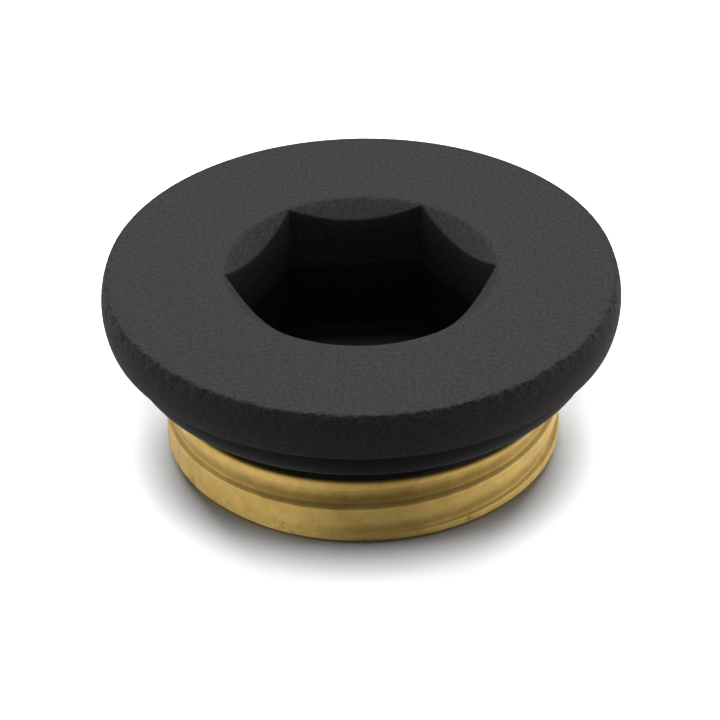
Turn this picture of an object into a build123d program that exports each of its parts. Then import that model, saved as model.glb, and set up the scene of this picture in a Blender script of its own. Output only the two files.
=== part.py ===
"""Blanking plug for a G1/2 pipe socket: a turned brass body driven by a hexagon key, and its rubber O-ring.

The plug stands on the end of its thread. Z runs up the axis from that end face, X passes through
two corners of the hexagon, and all sizes are in millimetres.
"""
import math
import os

from build123d import *

os.makedirs("parts", exist_ok=True)

# the flange that covers the mouth of the pipe socket
overall_height = 10.0
flange_diameter = 27.0
flange_thickness = 2.6
rim_crown_radius = 3.6
rim_crest_height = 1.2
top_edge_break = 0.12
bottom_edge_break = 0.10

# the shank, at the outside diameter of a G1/2 thread, with the edge of its end broken at 45 degrees
shank_diameter = 20.8
end_chamfer = 0.3

# the socket for a 12 mm hexagon key, countersunk so that the key finds its way in
key_size = 12.0
key_clearance = 0.15
mouth_margin = 0.10
mouth_angle = 100.0
floor_thickness = 2.4

# the O-ring, a little flat where its own stretch draws it into its shallow groove and up to the flange
ring_section = 2.2
ring_flat = 0.05
ring_groove_depth = 0.2

flange_radius = flange_diameter / 2
shank_radius = shank_diameter / 2
seat_height = overall_height - flange_thickness
rim_crown_centre = flange_radius - rim_crown_radius
rim_bottom_rise = rim_crest_height - bottom_edge_break
rim_top_rise = flange_thickness - rim_crest_height - top_edge_break
rim_bottom_radius = rim_crown_centre + math.sqrt(rim_crown_radius**2 - rim_bottom_rise**2)
rim_top_radius = rim_crown_centre + math.sqrt(rim_crown_radius**2 - rim_top_rise**2)
hexagon_flats = key_size + key_clearance
mouth_radius = hexagon_flats / math.sqrt(3) + mouth_margin
mouth_depth = mouth_radius / math.tan(math.radians(mouth_angle / 2))
socket_depth = overall_height - floor_thickness
groove_radius = shank_radius - ring_groove_depth
groove_height = seat_height - ring_section
ring_radius = groove_radius + ring_section / 2 - ring_flat
ring_height = seat_height - ring_section / 2 + ring_flat

# body: half of the turned outline, up the shank, past the ring's groove and over the crowned rim, whose top and
# bottom edges are broken at 45 degrees
with BuildPart() as plug_body:
    with BuildSketch(Plane.XZ):
        with BuildLine():
            Polyline(
                (0, overall_height),
                (0, 0),
                (shank_radius - end_chamfer, 0),
                (shank_radius, end_chamfer),
                (shank_radius, groove_height - ring_groove_depth),
                (groove_radius, groove_height),
                (groove_radius, seat_height),
                (rim_bottom_radius - bottom_edge_break, seat_height),
                (rim_bottom_radius, seat_height + bottom_edge_break),
            )
            ThreePointArc(
                (rim_bottom_radius, seat_height + bottom_edge_break),
                (flange_radius, seat_height + rim_crest_height),
                (rim_top_radius, overall_height - top_edge_break),
            )
            Polyline(
                (rim_top_radius, overall_height - top_edge_break),
                (rim_top_radius - top_edge_break, overall_height),
                (0, overall_height),
            )
        make_face()
    revolve(axis=Axis.Z)
    # hexagon pressed in from the top face, with a flat floor
    with BuildSketch(Plane.XY.offset(overall_height)):
        RegularPolygon(hexagon_flats / 2, 6, major_radius=False)
    extrude(amount=-socket_depth, mode=Mode.SUBTRACT)
    # countersink, which meets the flats in six scallops and just clears the corners
    with BuildSketch(Plane.XZ):
        with BuildLine():
            Polyline(
                (0, overall_height),
                (mouth_radius, overall_height),
                (0, overall_height - mouth_depth),
                close=True,
            )
        make_face()
    revolve(axis=Axis.Z, mode=Mode.SUBTRACT)
plug_body.part.label = "plug_body"
export_step(plug_body.part, "parts/plug_body.step")

# O-ring: a round section turned about the axis, flattened in its groove and under the flange
with BuildPart() as o_ring:
    with BuildSketch(Plane.XZ):
        with Locations((ring_radius, ring_height)):
            Circle(ring_section / 2)
        with Locations((groove_radius, ring_height)):
            Rectangle(ring_section, 2 * ring_section, align=(Align.MAX, Align.CENTER), mode=Mode.SUBTRACT)
        with Locations((ring_radius, seat_height)):
            Rectangle(2 * ring_section, ring_section, align=(Align.CENTER, Align.MIN), mode=Mode.SUBTRACT)
    revolve(axis=Axis.Z)
o_ring.part.label = "o_ring"
export_step(o_ring.part, "parts/o_ring.step")
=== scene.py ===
"""Blanking plug for a radiator port: black flange with a hexagon socket, O-ring and bare brass thread."""

import math

import bpy
import numpy as np
from mathutils import Matrix, Vector


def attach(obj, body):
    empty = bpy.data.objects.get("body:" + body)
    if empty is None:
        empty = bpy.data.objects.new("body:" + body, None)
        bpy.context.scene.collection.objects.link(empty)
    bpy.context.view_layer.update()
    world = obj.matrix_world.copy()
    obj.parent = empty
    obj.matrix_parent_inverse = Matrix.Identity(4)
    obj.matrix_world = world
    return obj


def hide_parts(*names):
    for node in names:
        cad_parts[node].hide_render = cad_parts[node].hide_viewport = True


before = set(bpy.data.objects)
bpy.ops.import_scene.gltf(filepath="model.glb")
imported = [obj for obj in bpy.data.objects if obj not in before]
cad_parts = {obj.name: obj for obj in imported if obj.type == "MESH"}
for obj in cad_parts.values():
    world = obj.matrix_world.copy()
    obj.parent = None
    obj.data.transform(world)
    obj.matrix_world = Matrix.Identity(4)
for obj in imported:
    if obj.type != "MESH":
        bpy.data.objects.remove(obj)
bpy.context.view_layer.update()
scene = bpy.context.scene
scene.view_settings.view_transform = "Standard"

# Plug body. One piece of brass bar, turned to a crowned flange and a shank, with a hexagon pressed into
# the top and a shallow G1/2 thread on the shank. It is powder coated black down to just under the O-ring.
# The rest of the thread is masked and stays bare. Sizes are in millimetres, from the end of the thread up.
height = 10.0
flange_radius, flange_thickness = 13.5, 2.6
crown_radius, crest_height = 3.6, 1.2
top_edge, bottom_edge = 0.15, 0.10
shank_radius, end_chamfer = 10.4, 0.3
ring_section, ring_flat, groove_depth = 2.2, 0.05, 0.2
hexagon_flats, mouth_margin, mouth_slope = 12.15, 0.10, math.radians(40)
socket_floor, foot_round = 2.4, 0.2
lip_ease, lip_share, mouth_round = 0.09, 0.35, 0.5
columns = 240
mm = 0.001

seat = height - flange_thickness
crest = seat + crest_height
groove_radius = shank_radius - groove_depth
groove_height = seat - ring_section
mouth_radius = hexagon_flats / math.sqrt(3) + mouth_margin
angle = np.linspace(0, 2 * math.pi, columns, endpoint=False)


def arc(centre, radius, start, end, count):
    """Points (radius, height) on a circle in the turning section: centre plus radius times (cosine, sine)
    of an angle that runs evenly from start to end, in degrees."""
    t = np.radians(np.linspace(start, end, count))
    return np.stack([centre[0] + radius * np.cos(t), centre[1] + radius * np.sin(t)], 1)


def turned(section):
    """Rings of a turned surface: each point (radius, height) of the section becomes a circle about the
    axis."""
    section = np.asarray(section, float)
    return np.repeat(section[:, None, :], columns, 1)


def spread(radii, heights):
    """Rings whose radius and height may differ from column to column: both are stretched to one shape, then
    paired."""
    radii, heights = np.broadcast_arrays(radii, heights)
    return np.stack([radii, heights], -1)


def socket_rings():
    """Socket, from its floor to the edge of the mouth. The hexagon's radius is half its flats over the
    cosine of the angle from the nearest flat. The walls rise to the countersink, whose cone drops inward
    from the mouth's circle, so each wall ends in a scallop. The coat eases the foot, the scallops and the
    mouth. A small gap keeps the rings in order where a corner almost reaches the mouth."""
    gap = 0.002
    hexagon = hexagon_flats / 2 / np.cos(np.mod(angle, math.pi / 3) - math.pi / 6)
    drop = math.tan(mouth_slope)
    scallop = height - (mouth_radius - hexagon) * drop
    share = np.array([0.3, 0.65, 0.95])[:, None]
    floor = spread(share * (hexagon - foot_round), socket_floor)
    turn = np.radians(np.linspace(-90, 0, 5))[:, None]
    foot_top = socket_floor + foot_round
    foot = spread(hexagon - foot_round + foot_round * np.cos(turn), foot_top + foot_round * np.sin(turn))
    ease = np.minimum(lip_ease, lip_share * (mouth_radius - hexagon))
    rise = np.array([0.25, 0.6, 0.92])[:, None]
    wall = spread(hexagon, foot_top + rise * (scallop - ease - foot_top))
    step = np.linspace(0, 1, 5)[:, None]
    lip = spread(hexagon + ease * step**2, scallop - ease * (1 - step)**2 + ease * drop * step**2)
    round_reach = mouth_round * math.tan(mouth_slope / 2)
    inner = hexagon + ease
    outer = np.maximum(mouth_radius - round_reach * math.cos(mouth_slope), inner + 2 * gap)
    blend = np.array([0.3, 0.7])[:, None]
    along = inner + blend * (outer - inner)
    cone = spread(along, height - (mouth_radius - along) * drop)
    centre = (mouth_radius + round_reach, height - mouth_round)
    mouth = turned(arc(centre, mouth_round, 90 + math.degrees(mouth_slope), 90, 5))
    mouth[..., 0] = np.maximum(mouth[..., 0], inner + gap * (3 + np.arange(5)[:, None]))
    return np.concatenate([floor, foot, wall, lip, cone, mouth])


def flange_rings():
    """Flange, from the socket's mouth over the top edge and the crowned rim to the O-ring's seat. The rim
    is an arc that stands out furthest a little below half its height. Both of its edges are small rounds
    that touch it."""
    centre = flange_radius - crown_radius
    top_tilt = math.degrees(math.asin((height - top_edge - crest) / (crown_radius - top_edge)))
    low_tilt = math.degrees(math.asin((crest - seat - bottom_edge) / (crown_radius - bottom_edge)))
    top_round = centre + (crown_radius - top_edge) * math.cos(math.radians(top_tilt))
    low_round = centre + (crown_radius - bottom_edge) * math.cos(math.radians(low_tilt))
    face_start, face_end = mouth_radius + 0.35, top_round - 0.05
    under_start, under_end = low_round - 0.1, groove_radius + 0.02
    face = [(r, height) for r in np.linspace(face_start, face_end, 7)]
    edge = arc((top_round, height - top_edge), top_edge, 90, top_tilt, 8)
    rim = arc((centre, crest), crown_radius, top_tilt, -low_tilt, 18)[1:-1]
    lower = arc((low_round, seat + bottom_edge), bottom_edge, -low_tilt, -90, 6)
    under = [(r, seat) for r in np.linspace(under_start, under_end, 6)]
    return turned(np.concatenate([face, edge, rim, lower, under]))


pitch = 25.4 / 14
thread_depth, root_round = 0.30, 0.06
lower_lean, lower_corner = math.tan(math.radians(45)), 0.04
upper_lean, upper_corner = math.tan(math.radians(72)), 0.10
front = math.radians(-92.2)
groove_at_front = 4.28
thread_start, start_length = math.radians(-875), math.radians(240)
run_out, run_out_length = math.radians(44), math.radians(30)
tool_marks = ((0.012, 37, 0.0), (0.009, 61, 1.3), (0.007, 97, 4.0))
fine_rows_top, fine_row = 5.5, 0.03


def eased(share):
    """A step from 0 to 1 with level ends: three times the square less twice the cube, of a share that is
    held between 0 and 1."""
    share = np.clip(share, 0, 1)
    return share * share * (3 - 2 * share)


def round_max(one, other, width):
    """Greater of two values, with the corner where they cross filled by a parabola of that width."""
    return np.maximum(one, other) + np.maximum(width - np.abs(one - other), 0)**2 / (4 * width)


def thread_rings():
    """Shank, from the O-ring's groove to the end face. Without its thread the radius at each height is
    that of the groove, its shoulder, the shank and the broken edge of the end. The thread takes off a depth
    that is full at its root and falls with the distance along the axis over the tangent of the flank's
    lean, which is less below the root than above it. Root and crests are rounded. The root climbs one pitch
    a turn. The cut grows over most of its first turn and soon fades out at its last. The tool's marks, each
    a sine of its own size, count to a turn and lag, leave the edges a little ragged."""
    above_thread = np.linspace(seat - 0.02, fine_rows_top, 8)
    along_thread = np.arange(fine_rows_top - fine_row, end_chamfer + fine_row / 2, -fine_row)
    level = np.concatenate([above_thread, along_thread, np.linspace(end_chamfer, 0, 7)])[:, None]
    plain = np.interp(
        level,
        [0, end_chamfer, groove_height - groove_depth, groove_height, seat],
        [shank_radius - end_chamfer, shank_radius, shank_radius, groove_radius, groove_radius],
    )
    swing = np.mod(angle - front + math.pi, 2 * math.pi) - math.pi
    turns = (level - groove_at_front) / pitch - swing / (2 * math.pi)
    number = np.round(turns)
    travel = swing + 2 * math.pi * number
    ragged = sum(size * np.sin(count * travel + lag) for size, count, lag in tool_marks)
    away = np.abs(turns - number) * pitch
    above = turns > number
    flank = thread_depth + ragged - away / np.where(above, upper_lean, lower_lean)
    grown = eased((travel - thread_start) / start_length) * eased((run_out - travel) / run_out_length)
    cut = -round_max(-flank, root_round - thread_depth, root_round) - (1 - grown) * 2 * thread_depth
    corner = np.where(above, upper_corner, lower_corner)
    radius = np.minimum(plain, shank_radius - round_max(cut, 0, corner))
    share = np.array([0.99, 0.75, 0.5, 0.25])[:, None]
    return np.concatenate([spread(radius, level), spread(share * radius[-1], 0.0)])


def body_of_rings(name, rings, first_pole, last_pole):
    """Closed mesh in metres from rings of (radius, height): a point is the radius times the cosine and sine
    of its column's angle, at its height. Neighbouring rings are joined by quads, and each end closes on a
    point of the axis with a fan of triangles. The order of the corners turns every face outward."""
    count = len(rings)
    x, y = rings[..., 0] * np.cos(angle), rings[..., 0] * np.sin(angle)
    points = np.stack([x, y, rings[..., 1]], -1).reshape(-1, 3)
    points = np.concatenate([points, [(0, 0, first_pole), (0, 0, last_pole)]]) * mm
    here = np.arange(columns)
    there = np.roll(here, -1)
    ring = np.arange(count - 1)[:, None] * columns
    after = ring + columns
    quads = np.stack([ring + here, after + here, after + there, ring + there], -1).reshape(-1, 4)
    last = (count - 1) * columns
    first_fan = np.stack([np.full(columns, count * columns), here, there], -1)
    last_fan = np.stack([np.full(columns, count * columns + 1), last + there, last + here], -1)
    corners = np.concatenate([first_fan.ravel(), quads.ravel(), last_fan.ravel()]).astype(np.int32)
    sizes = np.repeat([3, 4, 3], [columns, len(quads), columns]).astype(np.int32)
    mesh = bpy.data.meshes.new(name)
    mesh.vertices.add(len(points))
    mesh.vertices.foreach_set("co", points.astype(np.float32).ravel())
    mesh.loops.add(len(corners))
    mesh.loops.foreach_set("vertex_index", corners)
    mesh.polygons.add(len(sizes))
    mesh.polygons.foreach_set("loop_start", (np.cumsum(sizes) - sizes).astype(np.int32))
    mesh.update(calc_edges=True)
    mesh.validate()
    mesh.shade_smooth()
    mesh.set_sharp_from_angle(angle=math.radians(32))
    made = bpy.data.objects.new(name, mesh)
    scene.collection.objects.link(made)
    return made


def linear(code):
    """Linear colour of an sRGB hex value: each channel over 12.92 near black, and a 2.4 power above."""
    c = np.array([int(code[i:i + 2], 16) for i in (1, 3, 5)]) / 255
    return (*np.where(c <= 0.04045, c / 12.92, ((c + 0.055) / 1.055)**2.4), 1.0)


def fill(node, sockets):
    """Fills a node's sockets, by name or number: with a value, or from a pair of a node and its output."""
    for key, value in sockets.items():
        if isinstance(value, tuple) and isinstance(value[0], bpy.types.Node):
            node.id_data.links.new(value[0].outputs[value[1]], node.inputs[key])
        else:
            node.inputs[key].default_value = value


def add(tree, kind, sockets, **settings):
    """Adds a node, sets its own properties and fills its sockets."""
    node = tree.nodes.new("ShaderNode" + kind)
    for key, value in settings.items():
        setattr(node, key, value)
    fill(node, sockets)
    return node


def new_material(name):
    """A material with an empty principled surface: returns it with its node tree and that shader."""
    material = bpy.data.materials.new(name)
    material.use_nodes = True
    tree = material.node_tree
    return material, tree, tree.nodes["Principled BSDF"]


# Matt black polyester powder, baked on: fine-textured, so a close look shows a tight grain of bumps about
# 0.2 mm apart with finer ones on them, and hardly any reflection. The powder piles up in lumps on the rim's
# top edge, the part furthest from the origin. Below 6.6 mm from the end of the thread its colour is painted
# darker, down to 0.45 below 6.1 mm: painted shade in the lower half of the socket and on the neck under the
# O-ring.
powder_coat, tree, shader = new_material("black_textured_powder_coat")
place = add(tree, "TexCoord", {})
grain = add(tree, "TexNoise", {
    "Vector": (place, "Object"), "Scale": 1 / (0.2 * mm), "Detail": 3.0, "Roughness": 0.75,
})
tint = add(tree, "ValToRGB", {"Fac": (grain, "Fac")})
for stop, position, code in zip(tint.color_ramp.elements, (0.3, 0.7), ("#2d2a29", "#42413e")):
    stop.position = position
    stop.color = linear(code)
parts = add(tree, "SeparateXYZ", {"Vector": (place, "Object")})
# Painted shade: the coat's colour is scaled down to 0.45 low in the socket and on the neck under the
# O-ring.
low_painted_shade = add(tree, "MapRange", {
    "Value": (parts, "Z"), "From Min": 6.1 * mm, "From Max": 6.6 * mm, "To Min": 0.45,
})
tint_with_painted_shade = add(tree, "VectorMath", {0: (tint, "Color"), "Scale": (low_painted_shade, "Result")}, operation="SCALE")
bumps = add(tree, "Bump", {"Height": (grain, "Fac"), "Strength": 0.5, "Distance": 0.06 * mm})
outward = add(tree, "VectorMath", {0: (place, "Object")}, operation="LENGTH")
at_edge = add(tree, "MapRange", {
    "Value": (outward, "Value"), "From Min": 16.2 * mm, "From Max": 16.5 * mm,
})
lumps = add(tree, "TexNoise", {"Vector": (place, "Object"), "Scale": 1 / (0.6 * mm), "Detail": 2.0})
piled = add(tree, "Bump", {
    "Height": (lumps, "Fac"), "Strength": (at_edge, "Result"), "Distance": 0.4 * mm,
    "Normal": (bumps, "Normal"),
})
fill(shader, {
    "Base Color": (tint_with_painted_shade, "Vector"), "Normal": (piled, "Normal"),
    "Roughness": 0.7, "Specular IOR Level": 0.12,
})

# Bare yellow brass as it left the lathe: satin, with fine lines along the turns, a faint tarnish in clouds,
# and brown specks near both ends, where it was handled. The groove is darkened by a little grime all round
# and by painted shade that grows toward the side facing the camera, and a painted shadow darkens the brass
# just under the coat's edge and the O-ring.
bare_brass, tree, shader = new_material("turned_satin_brass")
place = add(tree, "TexCoord", {})
stretch = add(tree, "Mapping", {"Vector": (place, "Object"), "Scale": (1, 1, 14)})
lines = add(tree, "TexNoise", {"Vector": (stretch, "Vector"), "Scale": 1 / (1.1 * mm), "Detail": 4.0})
cloud = add(tree, "TexNoise", {
    "Vector": (place, "Object"), "Scale": 1 / (1.6 * mm), "Detail": 8.0, "Roughness": 0.8,
})
tone = add(tree, "ValToRGB", {"Fac": (cloud, "Fac")})
for stop, position, code in zip(tone.color_ramp.elements, (0.36, 0.64), ("#caa75c", "#e1c275")):
    stop.position = position
    stop.color = linear(code)
parts = add(tree, "SeparateXYZ", {"Vector": (place, "Object")})
past_middle = add(tree, "Math", {0: (parts, "Z"), 1: 2.6 * mm}, operation="SUBTRACT")
from_middle = add(tree, "Math", {0: (past_middle, "Value")}, operation="ABSOLUTE")
near_end = add(tree, "MapRange", {
    "Value": (from_middle, "Value"), "From Min": 0.9 * mm, "From Max": 2.3 * mm,
    "To Min": 0.02, "To Max": 0.13,
})
dirt = add(tree, "TexNoise", {
    "Vector": (place, "Object"), "Scale": 1 / (0.9 * mm), "Detail": 6.0, "Roughness": 0.75,
})
end_dirt = add(tree, "Math", {0: (dirt, "Fac"), 1: (near_end, "Result")}, operation="ADD")
specks = add(tree, "MapRange", {
    "Value": (end_dirt, "Value"), "From Min": 0.66, "From Max": 0.80, "To Max": 0.7,
})
# Per-point darkening: painted shade in the groove, strongest facing the camera, and a painted shadow just
# under the coat's edge, over a little grime.
dirt_and_shade_map = add(tree, "Attribute", {}, attribute_name="dirt_and_painted_shade")
specks_and_painted_shade = add(tree, "Math", {0: (dirt_and_shade_map, "Fac"), 1: (specks, "Result")}, operation="MAXIMUM")
specked_and_shaded_brass = add(tree, "Mix", {
    0: (specks_and_painted_shade, "Value"), 6: (tone, "Color"), 7: linear("#564011"),
}, data_type="RGBA")
dull = add(tree, "MapRange", {"Value": (lines, "Fac"), "To Min": 0.49, "To Max": 0.55})
marks = add(tree, "Bump", {"Height": (lines, "Fac"), "Strength": 0.05, "Distance": 0.02 * mm})
fill(shader, {
    "Base Color": (specked_and_shaded_brass, 2), "Normal": (marks, "Normal"),
    "Roughness": (dull, "Result"), "Metallic": 1.0,
})

mask_height, mask_dip, under_ring_shadow_width = 3.95, 0.2, 0.3
dirt_and_shade_least, dirt_and_shade_most, painted_shade_fall, dirt_and_shade_bite = 0.1, 0.9, 4, 1.3
coated = np.concatenate([socket_rings(), flange_rings()])
bare = thread_rings()
plug = body_of_rings("plug_body_turned", np.concatenate([coated, bare]), socket_floor, 0.0)
plug.data.materials.append(powder_coat)
plug.data.materials.append(bare_brass)
coat_edge = mask_height - mask_dip * np.sin(angle - front)**2
# Painted shadow on the brass just under the coat's edge and the O-ring, fading out over a short width.
painted_shadow_under_ring = eased((bare[..., 1] - coat_edge) / under_ring_shadow_width + 1)
cut_share = np.clip((shank_radius - bare[..., 0]) / thread_depth, 0, 1) * (bare[..., 1] > end_chamfer)
# Painted shade in the groove: a little grime all round, and shade that grows toward the side facing the
# camera.
facing_front = (0.5 + 0.5 * np.cos(angle - front))**painted_shade_fall
groove_dirt_and_shade = (dirt_and_shade_least + (dirt_and_shade_most - dirt_and_shade_least) * facing_front) * cut_share**dirt_and_shade_bite
dirt_and_shade_per_point = np.zeros(len(plug.data.vertices), np.float32)
dirt_and_shade_per_point[columns * len(coated):-2] = np.maximum(groove_dirt_and_shade, painted_shadow_under_ring).ravel()
plug.data.attributes.new("dirt_and_painted_shade", "FLOAT", "POINT").data.foreach_set("value", dirt_and_shade_per_point)
finish = np.ones((len(coated) + len(bare) + 1, columns), np.int32)
finish[:len(coated)] = 0
finish[len(coated):-1] = bare[..., 1] < coat_edge
plug.data.polygons.foreach_set("material_index", finish.ravel())
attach(plug, "root")
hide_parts("plug_body")

# O-ring. A moulded rubber ring of round section, stretched into its groove and drawn up against the flange,
# so it is a little flat on those two sides. It is smooth and darker than the coat.
ring_radius = groove_radius + ring_section / 2 - ring_flat
ring_height = seat - ring_section / 2 + ring_flat
ring_gap = 0.001


def ring_mesh(name):
    """Closed ring in metres: a circle's points, held off the groove and the flange by taking the greater of
    their radius and the groove's and the lesser of their height and the seat's, carried round the axis.
    Neighbours are joined by quads both ways round."""
    rows = 72
    t = np.linspace(0, 2 * math.pi, rows, endpoint=False)[:, None]
    r = np.maximum(ring_radius + ring_section / 2 * np.cos(t), groove_radius + ring_gap)
    z = np.minimum(ring_height + ring_section / 2 * np.sin(t), seat - ring_gap)
    z = np.broadcast_to(z, (rows, columns))
    points = np.stack([r * np.cos(angle), r * np.sin(angle), z], -1) * mm
    row, column = np.mgrid[0:rows, 0:columns]
    next_row, next_column = (row + 1) % rows, (column + 1) % columns
    corner = [row * columns + column, row * columns + next_column,
              next_row * columns + next_column, next_row * columns + column]
    mesh = bpy.data.meshes.new(name)
    mesh.from_pydata(points.reshape(-1, 3).tolist(), [], np.stack(corner, -1).reshape(-1, 4).tolist())
    mesh.update()
    mesh.shade_smooth()
    made = bpy.data.objects.new(name, mesh)
    scene.collection.objects.link(made)
    return made


# Black nitrile rubber, moulded: a smooth dull skin with a soft sheen.
nitrile, tree, shader = new_material("black_moulded_nitrile_rubber")
fill(shader, {"Base Color": linear("#131313"), "Roughness": 0.6, "Specular IOR Level": 0.15})
seal = ring_mesh("o_ring_moulded")
seal.data.materials.append(nitrile)
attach(seal, "root")
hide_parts("o_ring")

# Studio table. A plain white sheet under the plug, lit by lamps of its own, which keeps the plug's soft
# shadow and throws only a little light back. It lies a hair low, so that it shares no plane with the plug.
side, low = 1500 * mm, -0.02 * mm
sheet = bpy.data.meshes.new("table_sheet")
sheet_corners = [(-side, -side, low), (side, -side, low), (side, side, low), (-side, side, low)]
sheet.from_pydata(sheet_corners, [], [(0, 1, 2, 3)])
table = bpy.data.objects.new("table_sheet", sheet)
scene.collection.objects.link(table)

# White paper, matt: the camera sees it as it is lit. Reflections see it glow as well, though it is no lamp:
# a painted reflection, bright to the left and right of the plug and dark straight in front and behind.
white_sheet, tree, shader = new_material("white_paper_sheet")
sheet.materials.append(white_sheet)
path = add(tree, "LightPath", {})
bounce = add(tree, "MapRange", {"Value": (path, "Is Glossy Ray"), "To Min": 0.035, "To Max": 0.085})
direct = add(tree, "Math", {
    0: (path, "Is Camera Ray"), 1: (path, "Is Transmission Ray"),
}, operation="MAXIMUM")
white = add(tree, "MapRange", {"Value": (direct, "Value"), "To Min": (bounce, "Result"), "To Max": 0.28})
paper = add(tree, "BsdfDiffuse", {"Color": (white, "Result")})
place = add(tree, "TexCoord", {})
away = add(tree, "VectorMath", {0: (place, "Object")}, operation="NORMALIZE")
across = add(tree, "SeparateXYZ", {"Vector": (away, "Vector")})
left_to_right = add(tree, "MapRange", {"Value": (across, "X"), "From Min": -1.0})
glow = add(tree, "ValToRGB", {"Fac": (left_to_right, "Result")})
for position, code in ((0.25, "#bcbcbc"), (0.46, "#555555"), (0.60, "#616161")):
    glow.color_ramp.elements.new(position).color = linear(code)
glow.color_ramp.elements[0].color = linear("#bcbcbc")
glow.color_ramp.elements[-1].color = linear("#dcdcdc")
# Painted reflection: the sheet glows only for reflection rays, though it is no lamp.
painted_reflection_glow = add(tree, "Emission", {"Color": (glow, "Color"), "Strength": (path, "Is Glossy Ray")})
surface = add(tree, "AddShader", {0: (paper, "BSDF"), 1: (painted_reflection_glow, "Emission")})
fill(tree.nodes["Material Output"], {"Surface": (surface, "Shader")})
tree.nodes.remove(shader)
white_sheet.cycles.emission_sampling = "NONE"

# Studio walls. A plain white room round the table, pale behind the plug and darker on the camera's side,
# which fills the shadows a little.
world = bpy.data.worlds.new("studio")
scene.world = world
world.use_nodes = True
tree = world.node_tree
outlook = add(tree, "TexCoord", {})
behind = (-math.cos(front), -math.sin(front), 0)
toward_back = add(tree, "VectorMath", {0: (outlook, "Generated"), 1: behind}, operation="DOT_PRODUCT")
wall_light = add(tree, "MapRange", {
    "Value": (toward_back, "Value"), "From Min": -0.6, "To Min": 0.17, "To Max": 0.45,
})
fill(tree.nodes["Background"], {"Color": linear("#ffffff"), "Strength": (wall_light, "Result")})


# Studio lamps. One softbox behind and above the plug and a faint one at each side light the plug itself.
# The sheet has a low strip behind and a box overhead, which give it the plug's soft shadow.
def softbox(name, lit, azimuth, elevation, distance, width, depth, level):
    """A flat lamp that faces the plug and lights the listed objects alone, though all of them throw its
    shadows. It stands at an azimuth clockwise of straight behind the plug, as the camera sees it, and an
    elevation, in degrees, with its sizes in metres. Its power is pi squared times its distance squared,
    times the level at which it shows a white card facing it."""
    lamp = bpy.data.lights.new(name, "AREA")
    lamp.shape, lamp.size, lamp.size_y = "RECTANGLE", width, depth
    lamp.energy = level * (math.pi * distance)**2
    turn, tilt = front + math.pi - math.radians(azimuth), math.radians(elevation)
    way = Vector((math.cos(turn) * math.cos(tilt), math.sin(turn) * math.cos(tilt), math.sin(tilt)))
    made = bpy.data.objects.new(name, lamp)
    made.location = way * distance
    made.rotation_euler = way.to_track_quat("Z", "Y").to_euler()
    made.light_linking.receiver_collection = bpy.data.collections.new(name + "_lights")
    for each in lit:
        made.light_linking.receiver_collection.objects.link(each)
    scene.collection.objects.link(made)


softbox("back_softbox", [plug, seal], azimuth=0, elevation=68,
        distance=0.45, width=0.22, depth=0.22, level=1.0)
softbox("left_softbox", [plug, seal], azimuth=-100, elevation=8,
        distance=0.40, width=0.40, depth=0.10, level=0.15)
softbox("right_softbox", [plug, seal], azimuth=100, elevation=8,
        distance=0.40, width=0.40, depth=0.10, level=0.15)
softbox("sheet_back_strip", [table], azimuth=0, elevation=20,
        distance=0.45, width=0.48, depth=0.22, level=10.0)
softbox("sheet_overhead_softbox", [table], azimuth=180, elevation=78,
        distance=0.45, width=0.26, depth=0.19, level=3.8)

# Camera. A long lens a hand's span away, looking down on the front of the plug and turned a little about
# its own axis. The centre is where the middle of the plug's top falls in the picture, in pixels.
image_size, sensor_width = 720, 36
lens_pixels, eye_distance = 3503.5, 181.37
eye_tilt, roll = math.radians(32.833), math.radians(-0.9)
centre_x, centre_y = 360.754, 268.434
level_share = math.cos(eye_tilt)
back = np.array([level_share * math.cos(front), level_share * math.sin(front), math.sin(eye_tilt)])
right = np.cross([0, 0, 1.0], back)
right /= np.linalg.norm(right)
up = np.cross(back, right)
right, up = math.cos(roll) * right + math.sin(roll) * up, math.cos(roll) * up - math.sin(roll) * right
eye = np.array([0, 0, height]) + back * eye_distance
shift_x, shift_y = image_size / 2 - centre_x, image_size / 2 - centre_y
aim = -back + right * shift_x / lens_pixels - up * shift_y / lens_pixels
back = -aim / np.linalg.norm(aim)
right = np.cross(up, back)
right /= np.linalg.norm(right)
up = np.cross(back, right)
camera = bpy.data.objects.new("camera", bpy.data.cameras.new("camera"))
camera.data.sensor_width = sensor_width
camera.data.lens = lens_pixels * sensor_width / image_size
camera.data.clip_start, camera.data.clip_end = 0.01, 20
pose = np.stack([right, up, back, eye * mm], 1)
camera.matrix_world = Matrix(np.vstack([pose, [0, 0, 0, 1]]).tolist())
scene.collection.objects.link(camera)
scene.camera = camera
